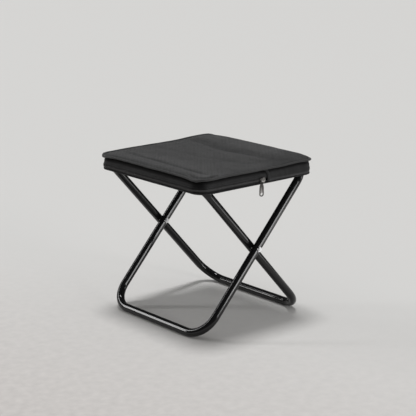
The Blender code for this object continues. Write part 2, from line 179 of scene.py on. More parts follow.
def waver(x, y, z, size):
    """Soft uneven value between about -1 and 1 that changes over the given distance."""
    return noise.noise(Vector((x, y, z)) / size)


# ---------------------------------------------------------------- finishes

def add(tree, kind, sockets=None, **settings):
    node = tree.nodes.new("ShaderNode" + kind)
    for key, value in settings.items():
        setattr(node, key, value)
    for key, value in (sockets or {}).items():
        node.inputs[key].default_value = value
    return node


def join(tree, source, target, out=0, into=0):
    tree.links.new(source.outputs[out], target.inputs[into])
    return target


def combined(tree, operation, first, second, **settings):
    """Two values put together by one sum; gives back the result's socket."""
    node = add(tree, "Math", operation=operation, **settings)
    tree.links.new(first, node.inputs[0])
    tree.links.new(second, node.inputs[1])
    return node.outputs[0]


def weave_group():
    """Plain weave: Height of the threads, Shade that tells warp from weft, Slub for uneven yarn."""
    group = bpy.data.node_groups.new("plain_weave", "ShaderNodeTree")
    make = group.interface.new_socket
    make(name="Cloth", in_out="INPUT", socket_type="NodeSocketVector")
    for label in ("Threads per metre", "Slub length"):
        make(name=label, in_out="INPUT", socket_type="NodeSocketFloat")
    for label in ("Height", "Shade", "Slub"):
        make(name=label, in_out="OUTPUT", socket_type="NodeSocketFloat")
    start = group.nodes.new("NodeGroupInput")
    end = group.nodes.new("NodeGroupOutput")
    link = group.links.new
    threads = add(group, "VectorMath", operation="SCALE")
    link(start.outputs["Cloth"], threads.inputs[0])
    link(start.outputs["Threads per metre"], threads.inputs["Scale"])
    parts = join(group, threads, add(group, "SeparateXYZ"))
    rounds = []
    for axis in (0, 1):
        turn = join(group, parts, add(group, "Math", {1: math.pi}, operation="MULTIPLY"), axis)
        wave = join(group, turn, add(group, "Math", operation="SINE"))
        rounds.append(join(group, wave, add(group, "Math", operation="ABSOLUTE")))
    flat = add(group, "CombineXYZ", {"Z": 0.5})
    link(parts.outputs[0], flat.inputs[0])
    link(parts.outputs[1], flat.inputs[1])
    over = join(group, flat, add(group, "TexChecker", {"Scale": 1.0}))
    height = add(group, "Mix", data_type="FLOAT")
    link(over.outputs["Fac"], height.inputs["Factor"])
    link(rounds[0].outputs[0], height.inputs["A"])
    link(rounds[1].outputs[0], height.inputs["B"])
    link(height.outputs["Result"], end.inputs["Height"])
    link(over.outputs["Fac"], end.inputs["Shade"])
    slubs = []
    for stretch in ((0.06, 1, 1), (1, 0.06, 1)):
        drawn = add(group, "VectorMath", {1: stretch}, operation="MULTIPLY")
        link(start.outputs["Cloth"], drawn.inputs[0])
        yarn = join(group, drawn, add(group, "TexNoise", {"Detail": 2.0, "Roughness": 0.6}))
        link(start.outputs["Slub length"], yarn.inputs["Scale"])
        slubs.append(yarn)
    both = combined(group, "ADD", slubs[0].outputs["Fac"], slubs[1].outputs["Fac"])
    half = join(group, both.node, add(group, "Math", {1: 0.5}, operation="MULTIPLY"))
    link(half.outputs[0], end.inputs["Slub"])
    return group


def mottle_group():
    """Uneven value between Low and High, from broad patches and fine grain."""
    group = bpy.data.node_groups.new("uneven_surface", "ShaderNodeTree")
    make = group.interface.new_socket
    make(name="Place", in_out="INPUT", socket_type="NodeSocketVector")
    for label in ("Patch scale", "Grain scale", "Low", "High"):
        make(name=label, in_out="INPUT", socket_type="NodeSocketFloat")
    for label in ("Value", "Grain"):
        make(name=label, in_out="OUTPUT", socket_type="NodeSocketFloat")
    start = group.nodes.new("NodeGroupInput")
    end = group.nodes.new("NodeGroupOutput")
    link = group.links.new
    patch = add(group, "TexNoise", {"Detail": 3.0, "Roughness": 0.55})
    grain = add(group, "TexNoise", {"Detail": 2.0, "Roughness": 0.5})
    for texture, label in ((patch, "Patch scale"), (grain, "Grain scale")):
        link(start.outputs["Place"], texture.inputs["Vector"])
        link(start.outputs[label], texture.inputs["Scale"])
    mixed = add(group, "Mix", {"Factor": 0.35}, data_type="FLOAT")
    link(patch.outputs["Fac"], mixed.inputs["A"])
    link(grain.outputs["Fac"], mixed.inputs["B"])
    spread = add(group, "MapRange", {"From Min": 0.3, "From Max": 0.7})
    link(mixed.outputs["Result"], spread.inputs["Value"])
    link(start.outputs["Low"], spread.inputs["To Min"])
    link(start.outputs["High"], spread.inputs["To Max"])
    link(spread.outputs["Result"], end.inputs["Value"])
    link(grain.outputs["Fac"], end.inputs["Grain"])
    return group


WEAVE = weave_group()
MOTTLE = mottle_group()


def new_finish(name):
    mat = bpy.data.materials.new(name)
    mat.use_nodes = True
    return mat, mat.node_tree, mat.node_tree.nodes["Principled BSDF"]


def use_group(tree, group, **values):
    node = tree.nodes.new("ShaderNodeGroup")
    node.node_tree = group
    for key, value in values.items():
        node.inputs[key.replace("_", " ")].default_value = value
    return node


def uneven(tree, shader, coords, patch, grain, low, high):
    """Roughness that varies over the surface; gives back the group for its grain."""
    mottle = use_group(tree, MOTTLE, Patch_scale=patch, Grain_scale=grain, Low=low, High=high)
    tree.links.new(coords, mottle.inputs["Place"])
    tree.links.new(mottle.outputs["Value"], shader.inputs["Roughness"])
    return mottle


def relief(tree, shader, height, distance, strength):
    """Fine relief of the surface from a height."""
    bump = add(tree, "Bump", {"Distance": distance, "Strength": strength})
    tree.links.new(height, bump.inputs["Height"])
    tree.links.new(bump.outputs["Normal"], shader.inputs["Normal"])


def two_tone(tree, shader, factor, dark, light):
    """Colour between two tones; gives back the node that mixes them."""
    tone = add(tree, "Mix", data_type="RGBA")
    tone.inputs["A"].default_value = (*dark, 1)
    tone.inputs["B"].default_value = (*light, 1)
    tree.links.new(factor, tone.inputs["Factor"])
    tree.links.new(tone.outputs["Result"], shader.inputs["Base Color"])
    return tone


def paint_finish():
    mat, tree, shader = new_finish("black_gloss_paint")
    coords = add(tree, "TexCoord").outputs["Object"]
    mottle = uneven(tree, shader, coords, 38, 700, 0.06, 0.13)
    shader.inputs["Specular IOR Level"].default_value = 0.38
    two_tone(tree, shader, mottle.outputs["Grain"], (0.005, 0.005, 0.0053), (0.009, 0.009, 0.0095))
    relief(tree, shader, mottle.outputs["Grain"], 0.0002, 0.004)
    return mat


CLOTH_GLOSS = 0.2
FADED = 0.86  # share of the colour left in the broad faded patches
RIB_PITCH, RIB_TURN, RIB_WANDER = 0.0062, math.radians(-50), 11.0


def painted_light_mask(tree, coords, spans):
    """Mask for painted light and painted shade: 1 on the part of the flat cloth past every span (axis, from,
    to).
    """
    place = join(tree, coords.node, add(tree, "SeparateXYZ"), "UV")
    mask = None
    for axis, start, full in spans:
        near = add(tree, "MapRange", {"From Min": start, "From Max": full}, interpolation_type="SMOOTHSTEP")
        tree.links.new(place.outputs[axis], near.inputs["Value"])
        near = near.outputs["Result"]
        mask = near if mask is None else combined(tree, "MULTIPLY", mask, near)
    return mask


def shade_part(tree, shader, tone, mask, share):
    """Takes the colour to a share of itself where the mask is 1."""
    part = add(tree, "Mix", data_type="RGBA", blend_type="MULTIPLY")
    part.inputs["B"].default_value = (share, share, share, 1)
    tree.links.new(mask, part.inputs["Factor"])
    tree.links.new(tone.outputs["Result"], part.inputs["A"])
    tree.links.new(part.outputs["Result"], shader.inputs["Base Color"])
    return part


def diagonal_ribs(tree, coords, shade, strength):
    """Adds ribs that run slantwise over the cloth, and wander, to its shade."""
    turned = add(tree, "Mapping", {"Rotation": (0, 0, RIB_TURN)})
    tree.links.new(coords, turned.inputs["Vector"])
    drawn = add(tree, "VectorMath", {1: (0.05, 1, 1)}, operation="MULTIPLY")
    tree.links.new(turned.outputs[0], drawn.inputs[0])
    wander = join(tree, drawn, add(tree, "TexNoise", {"Scale": 90.0, "Detail": 2.0}))
    across = join(tree, turned, add(tree, "SeparateXYZ"))
    ribs = join(tree, across, add(tree, "Math", {1: math.tau / RIB_PITCH}, operation="MULTIPLY"), "Y")
    drift = add(tree, "Math", {1: RIB_WANDER}, operation="MULTIPLY_ADD")
    tree.links.new(wander.outputs["Fac"], drift.inputs[0])
    tree.links.new(ribs.outputs[0], drift.inputs[2])
    rib = join(tree, drift, add(tree, "Math", operation="SINE"))
    shift = join(tree, rib, add(tree, "Math", {1: strength}, operation="MULTIPLY"))
    return combined(tree, "ADD", shade, shift.outputs[0], use_clamp=True)


def cloth_finish(name, dark, light, threads, slub, low, high, sheen, strength, streaks=0.0, parts=()):
    """Woven cloth. parts holds (share of the colour, spans) for each place with painted highlight or
    painted shade, where the cloth catches light or lies in shade; the gloss goes down with the colour there."""
    mat, tree, shader = new_finish(name)
    coords = add(tree, "TexCoord").outputs["UV"]
    weave = use_group(tree, WEAVE, Threads_per_metre=threads, Slub_length=slub)
    tree.links.new(coords, weave.inputs["Cloth"])
    warp = add(tree, "Math", {1: 0.45}, operation="MULTIPLY")
    tree.links.new(weave.outputs["Shade"], warp.inputs[0])
    yarn = add(tree, "MapRange", {"From Min": 0.35, "From Max": 0.65, "To Min": -0.1, "To Max": 0.6})
    tree.links.new(weave.outputs["Slub"], yarn.inputs["Value"])
    shade = combined(tree, "ADD", warp.outputs[0], yarn.outputs[0], use_clamp=True)
    if streaks:
        shade = diagonal_ribs(tree, coords, shade, streaks)
    tone = two_tone(tree, shader, shade, dark, light)
    patches = join(tree, coords.node, add(tree, "TexNoise", {"Scale": 15.0, "Detail": 2.0}), "UV")
    fade = add(tree, "MapRange", {"From Min": 0.42, "From Max": 0.62})
    tree.links.new(patches.outputs["Fac"], fade.inputs["Value"])
    tone = shade_part(tree, shader, tone, fade.outputs["Result"], FADED)
    gloss = None
    for share, spans in parts:
        # painted highlight and painted shade for each listed place
        mask = painted_light_mask(tree, coords, spans)
        tone = shade_part(tree, shader, tone, mask, share)
        level = add(tree, "MapRange", {"To Min": CLOTH_GLOSS, "To Max": CLOTH_GLOSS * share})
        tree.links.new(mask, level.inputs["Value"])
        level = level.outputs["Result"]
        gloss = level if gloss is None else combined(tree, "MINIMUM", gloss, level)
    uneven(tree, shader, coords, 45, 900, low, high)
    relief(tree, shader, weave.outputs["Height"], 0.00035, strength)
    shader.inputs["Sheen Weight"].default_value = sheen
    shader.inputs["Sheen Roughness"].default_value = 0.45
    if gloss is None:
        shader.inputs["Specular IOR Level"].default_value = CLOTH_GLOSS
    else:
        tree.links.new(gloss, shader.inputs["Specular IOR Level"])
    return mat


def hard_finish(name, dark, light, low, high, metal=False):
    """Metal or plastic with patchy roughness between low and high and a fine grain."""
    patch, grain, strength = (260, 2600, 0.06) if metal else (180, 2200, 0.1)
    mat, tree, shader = new_finish(name)
    coords = add(tree, "TexCoord").outputs["Object"]
    mottle = uneven(tree, shader, coords, patch, grain, low, high)
    two_tone(tree, shader, mottle.outputs["Grain"], dark, light)
    relief(tree, shader, mottle.outputs["Grain"], 0.0001, strength)
    shader.inputs["Metallic"].default_value = float(metal)
    return mat


# Places with painted highlight and painted shade: share of the colour, then spans on the flat cut in metres
SEAT_PAINTED_LIGHT_AND_SHADE = (
    (1.24, (("X", 0.224, 0.242),)),  # painted highlight outside the right crease, where the strip over the rail catches the light
    (1.19, (("X", 0.110, 0.030),)),  # painted highlight towards the left rail, where the strip over the rail catches the light
    (0.56, (("X", 0.145, 0.220), ("Y", 0.095, 0.02))),  # painted shade towards the front right corner
    (1.30, (("X", 0.050, 0.018), ("Y", 0.060, 0.020))))  # painted highlight near the near corner, where the edge rolls over towards the front light
BAND_PAINTED_LIGHT_AND_SHADE = (
    (0.40, (("Y", 0.0175, 0.0225),)),  # painted shade under the lip
    (2.7, (("Y", 0.0068, 0.0038),)),  # painted highlight along the lower seam, where the band catches light from the floor
    (0.22, (("X", 0.0042, 0.0016),)))  # painted shadow along the end beside the zip
TAPE_PAINTED_SHADE = (
    (0.40, (("Y", 0.0065, 0.0120),)),  # painted shade under the lip
    (0.25, (("Y", 0.0055, 0.0110), ("X", CORNER_AT - 0.012, CORNER_AT + 0.012))),  # more painted shade past the corner, under the lip
    (0.30, (("X", 0.0215, 0.0155), ("Y", 0.0075, 0.0125))),  # painted shadow beside the gusset's end, where the gusset stands over the tape
    (0.36, (("X", CORNER_AT - 0.022, CORNER_AT - 0.004),  # painted shade where the tape turns the near corner
            ("X", CORNER_AT + 0.026, CORNER_AT + 0.006))))

PAINT = paint_finish()
SEAT_CLOTH = cloth_finish("grey_woven_seat", (0.0225, 0.0225, 0.0231), (0.054, 0.054, 0.0545), 900, 160,
                          0.62, 0.8, 0.10, 0.45, streaks=0.22, parts=SEAT_PAINTED_LIGHT_AND_SHADE)
SIDE_CLOTH = cloth_finish("black_side_cloth", (0.011, 0.011, 0.0115), (0.031, 0.031, 0.032), 1000, 220,
                          0.6, 0.8, 0.1, 0.35)
BAND_CLOTH = cloth_finish("black_band_cloth", (0.0095, 0.0095, 0.010), (0.029, 0.029, 0.030), 1000, 220,
                          0.6, 0.8, 0.1, 0.35, parts=BAND_PAINTED_LIGHT_AND_SHADE)
TAPE_CLOTH = cloth_finish("black_zip_tape", (0.0088, 0.0088, 0.0093), (0.026, 0.026, 0.027), 1500, 300,
                          0.55, 0.75, 0.1, 0.35, parts=TAPE_PAINTED_SHADE)
BINDING_CLOTH = cloth_finish("grey_edge_binding", (0.026, 0.026, 0.0267), (0.052, 0.052, 0.0525), 1300, 260,
                             0.5, 0.7, 0.15, 0.3)
COIL = hard_finish("black_zip_coil", (0.018, 0.018, 0.0185), (0.05, 0.05, 0.051), 0.25, 0.4)
THREAD = hard_finish("dark_thread", (0.03, 0.03, 0.031), (0.06, 0.06, 0.061), 0.45, 0.65)
SPACER = hard_finish("black_spacer", (0.014, 0.014, 0.014), (0.024, 0.024, 0.024), 0.4, 0.6)
RIVET = hard_finish("bright_rivet", (0.36, 0.36, 0.365), (0.47, 0.47, 0.475), 0.20, 0.36, metal=True)
NICKEL = hard_finish("worn_nickel", (0.10, 0.096, 0.092), (0.24, 0.232, 0.224), 0.18, 0.34, metal=True)
DARK_NICKEL = hard_finish("dulled_nickel", (0.042, 0.040, 0.0385), (0.130, 0.125, 0.120), 0.14, 0.3,
                          metal=True)


def dress(obj, mat):
    obj.data.materials.clear()
    obj.data.materials.append(mat)


def fitted(piece, angle, mat, node, body):
    """Finishes a piece that moves with one body; node is the solid it stands for."""
    smooth(piece, angle)
    dress(piece, mat)
    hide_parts(node)
    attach(piece, body)


# ---------------------------------------------------------------- frame

def tube_loop(name, tilt, shift):
    """Bent tube: a rectangle with rounded corners, drawn flat and tilted about the pivot,
    then given its round section."""
    clear()
    bpy.ops.mesh.primitive_plane_add(size=1)
    loop = added(name)
    loop.scale = (2 * PIVOT_TO_RAIL, LEG_SPACING, 1)
    settle(loop)
    open_all(loop)
    bpy.ops.mesh.bevel(offset_type="ABSOLUTE", offset=BEND_RADIUS, segments=20, affect="VERTICES")
    bpy.ops.mesh.select_all(action="SELECT")
    bpy.ops.mesh.delete(type="ONLY_FACE")
    close_edit()
    loop.rotation_euler = (0, tilt - math.pi / 2, 0)
    loop.location = (0, shift, PIVOT_Z)
    settle(loop)
    bpy.ops.object.convert(target="CURVE")
    loop = bpy.context.object
    loop.data.twist_mode = "Z_UP"
    loop.data.bevel_depth = TUBE_RADIUS
    loop.data.bevel_resolution = 10
    bpy.ops.object.convert(target="MESH")
    loop = bpy.context.object
    open_all(loop)
    bpy.ops.mesh.remove_doubles(threshold=0.00001)
    bpy.ops.mesh.normals_make_consistent(inside=False)
    close_edit()
    return loop


def seat_cutter(y):
    """Round cutter for the pressed flat that a rivet head sits on."""
    clear()
    bpy.ops.mesh.primitive_cylinder_add(vertices=48, radius=SEAT_RADIUS, depth=SEAT_DEPTH,
                                        location=(0, y, PIVOT_Z), rotation=(math.pi / 2, 0, 0))
    cutter = added("rivet_seat_cutter")
    settle(cutter)
    return cutter


def make_frame(node, tilt, shift, body, facing):
    """Tube loop with a pressed flat for each rivet head on the side it faces."""
    tube = tube_loop(node.replace("frame", "tube"), tilt, shift)
    spots = [side * LEG_SPACING / 2 + facing * (HEAD_SEAT + SEAT_DEPTH / 2) for side in (-1, 1)]
    cut_away(tube, [seat_cutter(y) for y in spots])
    fitted(tube, 35, PAINT, node, body)


def make_rivet(node, side):
    """Rivet turned from a plain shank: each end is spread out, given a rim and drawn in to a dome."""
    y = side * LEG_SPACING / 2
    shank, head, under, rim, dome = 0.0026, 0.0052, HEAD_SEAT + 0.0002, 0.0006, 0.0024
    clear()
    bpy.ops.mesh.primitive_cylinder_add(vertices=36, radius=shank, depth=2 * under, location=(0, y, PIVOT_Z),
                                        rotation=(math.pi / 2, 0, 0))
    rivet = added(node.replace("pivot_rivet", "rivet"))
    settle(rivet)
    select(rivet, "FACE", lambda p: all(abs(abs(c.y - y) - under) < 0.0001 for c in p))
    steps = [(head, under), (head, under + rim)]
    steps += [(head * math.cos(a), under + rim + dome * math.sin(a))
              for a in (math.radians(10 * i) for i in range(1, 9))]
    was = (shank, under)
    for now in steps:
        bpy.ops.mesh.extrude_region_move()
        bpy.ops.transform.resize(value=(now[0] / was[0], now[1] / was[1], now[0] / was[0]),
                                 center_override=(0, y, PIVOT_Z))
        was = now
    close_edit()
    fitted(rivet, 50, RIVET, node, "left_foot_body")


make_frame("left_foot_frame", HALF_ANGLE, -FRAME_OFFSET, "left_foot_body", -1)
make_frame("right_foot_frame", -HALF_ANGLE, FRAME_OFFSET, "right_foot_body", 1)
make_rivet("front_pivot_rivet", -1)
make_rivet("rear_pivot_rivet", 1)
for washer in ("front_pivot_washer", "rear_pivot_washer"):
    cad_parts[washer].data.materials.clear()
    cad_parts[washer].data.materials.append(SPACER)


# ---------------------------------------------------------------- pouch

def follow_fold(obj):
    """Puts the cloth's place into its mesh; the pouch hangs from both rails and bends between the two loops,
    but nothing here bends it.
    """
    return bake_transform(obj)


# Hollow of the seat in its middle and at its front and back, and half the width that lies flat
SAG, SAG_AT_ENDS, FLAT_HALF = 0.004, 0.0012, 0.045
# Corners that droop: how deep, then side, start and reach along X, and the same along Y
SOFT_CORNERS = ((0.0020, -1, 0.06, 0.08, -1, 0.09, 0.06),
                (0.0026, 1, 0.085, 0.055, -1, 0.10, 0.055),
                (0.0022, -1, 0.05, 0.09, 1, 0.088, 0.055))


def crease_left(y):
    """X of the crease inside the left rail."""
    return -0.1047 + 0.040 * y


def crease_right(y):
    """X of the crease inside the right rail."""
    return 0.0690 - 0.0042 * math.cos((y - 0.03) * math.tau / 0.15)


def seat_height(x, y):
    """Upper face of the top panel: raised over the rails, hollow between them, with soft folds
    inside the rails."""
    a, b = abs(x), abs(y)
    flat_y = RAIL_STRAIGHT * 2 / 3
    sag = SAG + (SAG_AT_ENDS - SAG) * ease((b - flat_y) / (PANEL_Y - flat_y))
    if a <= RAIL_X:
        drop = sag * (1 - ease((a - FLAT_HALF) / (RAIL_X - FLAT_HALF)))
    else:
        drop = 0.003 * ((a - RAIL_X) / (PANEL_X - RAIL_X)) ** 2
    past = max(0.0, (b - RAIL_STRAIGHT) / (PANEL_Y - RAIL_STRAIGHT))
    drop += 0.0028 * past ** 2
    inside = ease((PANEL_Y - 0.008 - b) / 0.045)  # folds die out at the front and back edges
    drop += 0.0038 * inside * bump_at(x - crease_left(y), 0.0046)
    drop += 0.0044 * inside * ease((y + 0.125) / 0.09) * bump_at(x - crease_right(y), 0.0105)
    drop += 0.0013 * inside * bump_at(x + 0.008 + 0.15 * y, 0.013)
    for deep, side_x, start_x, reach_x, side_y, start_y, reach_y in SOFT_CORNERS:
        drop += deep * ease((side_x * x - start_x) / reach_x) * ease((side_y * y - start_y) / reach_y)
    drop -= 0.0012 * ease((x - 0.03) / 0.08)  # the right half stands a little higher
    drop += 0.00040 * waver(x, y, 0.3, 0.06) + 0.00020 * waver(x, y, 1.7, 0.021)
    return CROWN_Z - drop


def rounded(x, y):
    """Moves points of the rectangle so that its corners are round."""
    u = (abs(x) - PANEL_X + CORNER) / CORNER
    v = (abs(y) - PANEL_Y + CORNER) / CORNER
    if u <= 0 or v <= 0:
        return x, y
    return (math.copysign(PANEL_X - CORNER + CORNER * u * math.sqrt(1 - v * v / 2), x),
            math.copysign(PANEL_Y - CORNER + CORNER * v * math.sqrt(1 - u * u / 2), y))


def edge_gap(x, y):
    """Distance from a point of the panel to its rounded edge."""
    u, v = abs(x) - PANEL_X + CORNER, abs(y) - PANEL_Y + CORNER
    if u > 0 and v > 0:
        return CORNER - math.hypot(u, v)
    return min(PANEL_X - abs(x), PANEL_Y - abs(y))


def cloth_sheet(name, columns, rows, put, flat, facing):
    """Grid of cloth whose points go where put(u, v) says; its UV map is the flat cut in metres."""
    clear()
    bpy.ops.mesh.primitive_grid_add(x_subdivisions=columns, y_subdivisions=rows, size=1)
    cloth = added(name)
    for vertex in cloth.data.vertices:
        vertex.co = put(vertex.co.x + 0.5, vertex.co.y + 0.5)
    for loop in cloth.data.uv_layers.active.data:
        loop.uv = (loop.uv.x * flat[0], loop.uv.y * flat[1])
    open_all(cloth)
    bpy.ops.mesh.remove_doubles(threshold=0.000002)
    close_edit()
    if sum(face.area * face.normal.dot(facing(face.center)) for face in cloth.data.polygons) < 0:
        open_all(cloth)
        bpy.ops.mesh.flip_normals()
        close_edit()
    return cloth


def thicken(cloth, thickness):
    """Gives the cloth its wall, inward from the face that shows."""
    wall = cloth.modifiers.new("wall", "SOLIDIFY")
    wall.thickness = thickness
    wall.offset = -1
    wall.use_even_offset = True
    finish_modifiers(cloth)


def sewn(cloth, wall, angle, mat, node=None):
    """Finishes a cloth of the pouch and puts its place into its mesh; node is the solid it stands for."""
    if wall:
        thicken(cloth, wall)
    smooth(cloth, angle)
    dress(cloth, mat)
    if node:
        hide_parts(node)
    return follow_fold(cloth)


def upward(point):
    return Vector((0, 0, 1))


def outward(point):
    return Vector((point.x / PANEL_X, point.y / PANEL_Y, 0))


def outline(side, end_x):
    """Half of the pouch's outline as a function of a share from 0 to 1, from the front face round
    to the rear; also gives its length."""
    front = PANEL_X - CORNER - side * end_x
    straight = 2 * (PANEL_Y - CORNER)
    bend = CORNER * math.pi / 2
    length = 2 * front + straight + 2 * bend

    def at(share):
        s = share * length
        if s <= front:
            return Vector((end_x + side * s, -PANEL_Y, 0)), Vector((0, -1, 0))
        s -= front
        if s <= bend:
            turn = s / CORNER
            way = Vector((side * math.sin(turn), -math.cos(turn), 0))
            return Vector((side * (PANEL_X - CORNER), -PANEL_Y + CORNER, 0)) + way * CORNER, way
        s -= bend
        if s <= straight:
            return Vector((side * PANEL_X, -PANEL_Y + CORNER + s, 0)), Vector((side, 0, 0))
        s -= straight
        if s <= bend:
            turn = s / CORNER
            way = Vector((side * math.cos(turn), math.sin(turn), 0))
            return Vector((side * (PANEL_X - CORNER), PANEL_Y - CORNER, 0)) + way * CORNER, way
        s -= bend
        return Vector((side * (PANEL_X - CORNER - s), PANEL_Y, 0)), Vector((0, 1, 0))

    return at, length


def whole_outline():
    """The pouch's outline all the way round, and its length."""
    right, length = outline(1, 0)
    left, _ = outline(-1, 0)
    return (lambda share: right(2 * share % 2) if share < 0.5 else left(2 - 2 * share)), 2 * length


def lip_height(x, y):
    """Height of the top panel at its edge, also for points a little past it."""
    return seat_height(max(-PANEL_X, min(PANEL_X, x)), max(-PANEL_Y, min(PANEL_Y, y)))


def edge_tuck(gap):
    """How far the seam draws the top panel down at a distance from its edge."""
    return 0.0009 * bump_at(gap, 0.0022)


def make_top_panel():
    def put(u, v):
        x, y = rounded((2 * u - 1) * PANEL_X, (2 * v - 1) * PANEL_Y)
        gap = edge_gap(x, y)
        front_corner = ease((-x - 0.085) / 0.035) * ease((-y - 0.095) / 0.035)
        groove = 0.0066 * front_corner * bump_at(gap - 0.0086, 0.0028)
        return Vector((x, y, seat_height(x, y) - (edge_tuck(gap) + groove)))

    panel = cloth_sheet("seat_top_cloth", 180, 194, put, (2 * PANEL_X, 2 * PANEL_Y), upward)
    return sewn(panel, TOP_WALL, 60, SEAT_CLOTH, "seat_top_panel")


def make_binding(node, name, out, wide, tall, height, mat):
    """Folded tape along an edge: a rounded bead that follows the pouch's outline."""
    at, length = whole_outline()

    def put(u, v):
        spot, way = at(u % 1.0)
        angle = 2 * math.pi * (v % 1.0)
        turned = ease((abs(spot.x) - PANEL_X + 0.03) / 0.022) * ease((abs(spot.y) - PANEL_Y + 0.03) / 0.022)
        uneven_bead = 1 + 0.07 * waver(spot.x, spot.y, 4.2, 0.018) + 0.3 * turned
        spot = spot + way * (out(spot) + wide * uneven_bead * math.cos(angle))
        spot.z = height(spot.x, spot.y) + tall * uneven_bead * math.sin(angle)
        return spot

    girth = math.pi * (wide + tall)
    bead = cloth_sheet(name, 420, 14, put, (length, girth), outward)
    return sewn(bead, None, 70, mat, node)


def make_strip(node, name, side, end_x, columns, rows, section, mat, wall, tall, curved=False):
    """Upright strip round half of the pouch; section(spot, t) gives its distance out and its height."""
    at, length = outline(side, end_x)

    def put(u, v):
        inset = 0.0
        if curved:
            end, _ = at(0)
            inset = (flap_edge(end, section(end, v)[1]) - end_x) / length
        spot, way = at(inset + (1 - 2 * inset) * u)
        out, z = section(spot, v)
        spot = spot + way * out
        spot.z = z
        return spot

    strip = cloth_sheet(name, columns, rows, put, (length, tall), outward)
    return sewn(strip, wall, 60, mat, node)


def band_top(spot):
    """Upper edge of the band, under the lip."""
    return lip_height(spot.x, spot.y) - 0.0026


BAND_LOW = BOTTOM_TOP + 0.0003
# How far the band stands out, from the bottom to the lip: swollen, and drawn flat where the slider runs
BAND_FULL = ((0, -0.0006), (0.12, 0.0012), (0.3, 0.0023), (0.58, 0.0012), (0.8, 0.0004),
             (0.91, -0.0012), (1, -0.0030))
BAND_FLAT = ((0, -0.0006), (0.12, -0.0001), (0.3, 0.0), (0.58, 0.0003), (0.8, 0.0),
             (0.91, -0.0013), (1, -0.0030))


def along(table, t):
    """Value between the table's points, with smooth steps."""
    for (t0, v0), (t1, v1) in zip(table, table[1:]):
        if t <= t1:
            return v0 + (v1 - v0) * ease((t - t0) / (t1 - t0))
    return table[-1][1]


def swell(spot):
    """1 where the band is free to swell, 0 along the slider's way and at the zip's ends."""
    if spot.x >= 0:
        return ease((spot.x - 0.03) / 0.06)
    if spot.y > 0:
        return ease((-spot.x - 0.005) / 0.06)
    return ease((-spot.x - 0.112) / 0.026)


def band_out(spot, z):
    """How far the band stands out at a height."""
    t = clamp((z - BAND_LOW) / (band_top(spot) - BAND_LOW))
    full = swell(spot)
    return full * along(BAND_FULL, t) + (1 - full) * along(BAND_FLAT, t)


def flap_edge(spot, z):
    """X of the gusset's curved end at a height."""
    start = CHAIN_LOW + 0.001
    t = clamp((z - start) / (band_top(spot) - start))
    return FLAP_LOW - (FLAP_LOW - FLAP_HIGH) * (1 - math.sqrt(1 - t * t))


def flap_lift(spot):
    """The gusset's ends lie over the ends of the zip tapes."""
    return 0.0010 * (1 - ease((spot.x - 0.022) / 0.03))


def gusset_section(spot, t):
    low, high = BAND_LOW, band_top(spot)
    z = low + (high - low) * t
    ripple = 0.00022 * waver(spot.x, spot.y, t, 0.03)
    return band_out(spot, z) + flap_lift(spot) + ripple, z


def upper_tape_section(spot, t):
    low, high = CHAIN_HIGH + 0.0002, band_top(spot)
    z = low + (high - low) * t
    ripple = 0.00015 * waver(spot.x, spot.y, 2 + t, 0.028)
    return band_out(spot, z) - 0.0004 + ripple, z


def lower_tape_section(spot, t):
    low, high = BAND_LOW, CHAIN_LOW - 0.0002
    z = low + (high - low) * t
    return band_out(spot, z) - 0.0002, z


top_cloth = make_top_panel()
top_binding = make_binding("top_edge_binding", "top_binding", lambda spot: 0.0021, 0.0022, 0.0018,
                           lambda x, y: lip_height(x, y) - 0.0009, BINDING_CLOTH)
bottom_binding = make_binding("bottom_edge_binding", "bottom_binding",
                              lambda spot: 0.0015 - 0.0009 * swell(spot), 0.0013, 0.0012,
                              lambda x, y: BOTTOM_Z + 0.0012, SIDE_CLOTH)
gusset = make_strip("side_gusset", "plain_gusset", 1, FLAP_HIGH, 200, 28, gusset_section,
                    BAND_CLOTH, SIDE_WALL, 0.0265, curved=True)
upper_tape = make_strip("zip_tape_upper", "upper_zip_tape", -1, TAPE_END, 210, 22, upper_tape_section,
                        TAPE_CLOTH, TAPE_WALL, 0.0165)
lower_tape = make_strip("zip_tape_lower", "lower_zip_tape", -1, TAPE_END, 210, 6, lower_tape_section,
                        TAPE_CLOTH, TAPE_WALL, 0.004)


def make_bottom_panel():
    """Underside: a cut sheet with a round-cornered slot for each leg."""
    def put(u, v):
        x, y = rounded((2 * u - 1) * PANEL_X, (2 * v - 1) * PANEL_Y)
        hang = 0.0004 * waver(x, y, 7.1, 0.05) * ease(edge_gap(x, y) / 0.03)
        return Vector((x, y, BOTTOM_TOP - 0.0002 + hang))

    panel = cloth_sheet("seat_bottom_cloth", 96, 104, put, (2 * PANEL_X, 2 * PANEL_Y), upward)
    thicken(panel, SIDE_WALL)
    cutters = []
    up = (BOTTOM_Z - PIVOT_Z) / math.cos(HALF_ANGLE)
    into = max(0.0, up - (PIVOT_TO_RAIL - BEND_RADIUS))
    leg_in = BEND_RADIUS - math.sqrt(BEND_RADIUS ** 2 - into ** 2)
    room = 0.005  # left round the tube in its slot
    half_x, half_y = TUBE_RADIUS / math.cos(HALF_ANGLE) + room, TUBE_RADIUS + room
    for loop in (1, -1):
        for side in (-1, 1):
            y = abs(side * (LEG_SPACING / 2 - leg_in) - loop * FRAME_OFFSET)
            inner, outer = y - half_y, (PANEL_Y + 0.004 if side == -loop else y + half_y)
            clear()
            bpy.ops.mesh.primitive_cube_add(size=1, location=(
                loop * up * math.sin(HALF_ANGLE), side * (inner + outer) / 2, BOTTOM_Z))
            cutter = added("leg_slot_cutter")
            cutter.scale = (2 * half_x, outer - inner, 0.01)
            settle(cutter)
            select(cutter, "EDGE", lambda p: abs(p[0].z - p[1].z) > 0.005)
            bpy.ops.mesh.bevel(offset=half_y / 2, segments=6, affect="EDGES")
            close_edit()
            cutters.append(cutter)
    cut_away(panel, cutters)
    return sewn(panel, None, 50, SIDE_CLOTH, "seat_bottom_panel")


bottom_cloth = make_bottom_panel()


